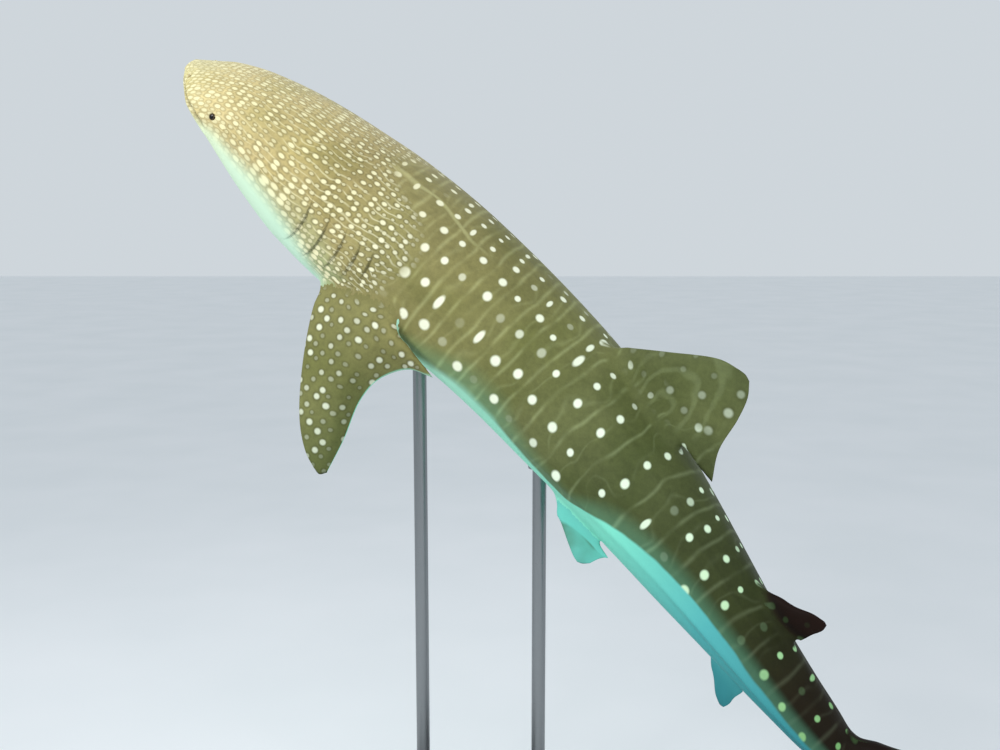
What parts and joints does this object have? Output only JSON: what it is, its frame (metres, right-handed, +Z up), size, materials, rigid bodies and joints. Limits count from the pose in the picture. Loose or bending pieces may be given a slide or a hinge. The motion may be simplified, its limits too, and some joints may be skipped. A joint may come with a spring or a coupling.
{
  "type": "whale shark display model",
  "caption": "Life-size whale shark swimming nose up with its back rolled towards the viewer, held by two rods on a flat base.",
  "frame": {"origin": "centre of the underside of the stand's base", "axes": "+Z up; the tail lies towards +X and the nose towards -X; the animal's left side and back face -Y"},
  "size_m": [4.5565, 2.6753, 4.465],
  "materials": {
    "skin_head": "matt hide, golden brown with dense small pale spots",
    "skin_body": "matt hide, olive brown with pale spots and bars, white belly",
    "skin_fin": "matt hide, dark olive brown with pale spots",
    "eye": "wet and dark",
    "stand_base": "satin dark grey paint",
    "stand_rod": "satin brushed"
  },
  "bodies": {
    "root": {"head": "skin_head", "trunk_front": "skin_body", "trunk_mid": "skin_body", "trunk_rear": "skin_body", "tail": "skin_body", "caudal_fin": "skin_fin", "dorsal_fin_first": "skin_fin", "dorsal_fin_second": "skin_fin", "anal_fin": "skin_fin", "pectoral_fin_left": "skin_fin", "pectoral_fin_right": "skin_fin", "pelvic_fin_left": "skin_fin", "pelvic_fin_right": "skin_fin", "eye_left": "eye", "eye_right": "eye", "stand_base": "stand_base", "stand_rod_front": "stand_rod", "stand_rod_rear": "stand_rod"}
  },
  "joints": []
}
